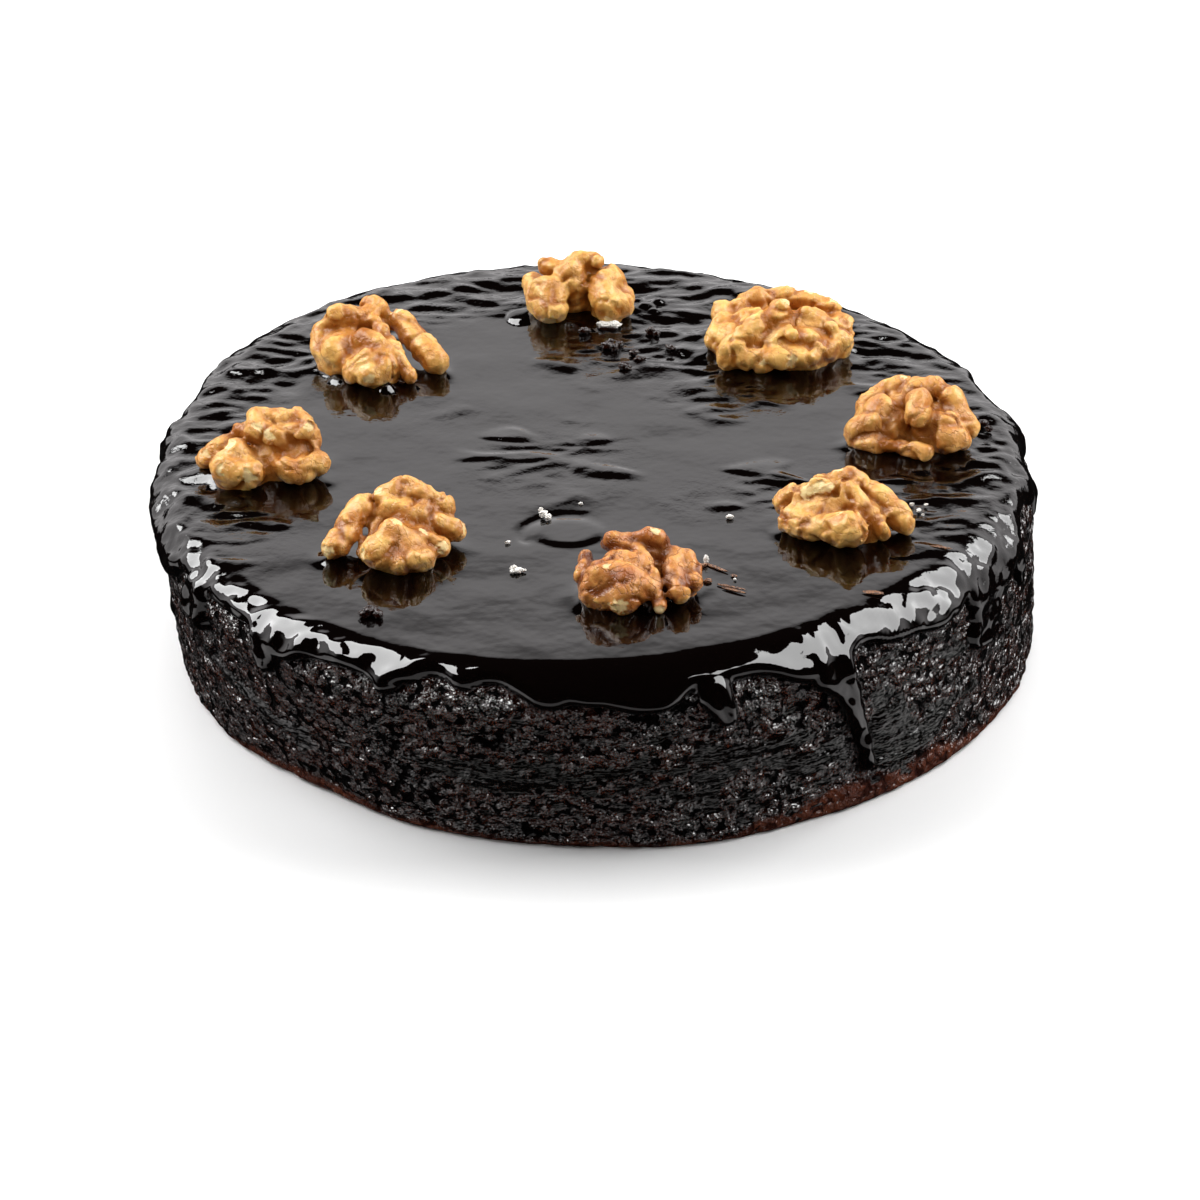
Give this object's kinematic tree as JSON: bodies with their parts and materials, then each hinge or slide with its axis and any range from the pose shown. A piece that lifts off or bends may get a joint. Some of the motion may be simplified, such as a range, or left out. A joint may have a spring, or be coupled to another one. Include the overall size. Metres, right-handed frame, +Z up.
{
  "type": "chocolate walnut cake",
  "caption": "Round dark chocolate cake under a poured glossy chocolate coat with runs and drips, ringed with glazed walnut halves.",
  "frame": {"origin": "on the surface the cake stands on, under the middle of the whole cake's box", "axes": "+Z up, -Y towards the front of the cake that the picture shows, +X to that view's right"},
  "size_m": [0.2275, 0.2384, 0.068],
  "materials": {
    "sponge": "dark, lumpy, syrup-soaked chocolate crumb",
    "chocolate": "mirror-gloss poured chocolate glaze",
    "walnut": "semi-gloss glazed walnut kernel, golden tan with cream chips"
  },
  "bodies": {
    "root": {"cake": "sponge", "chocolate_coat": "chocolate", "walnut_half_1": "walnut", "walnut_half_2": "walnut", "walnut_half_3": "walnut", "walnut_half_4": "walnut", "walnut_half_5": "walnut", "walnut_half_6": "walnut", "walnut_half_7": "walnut", "walnut_half_8": "walnut"}
  },
  "joints": []
}
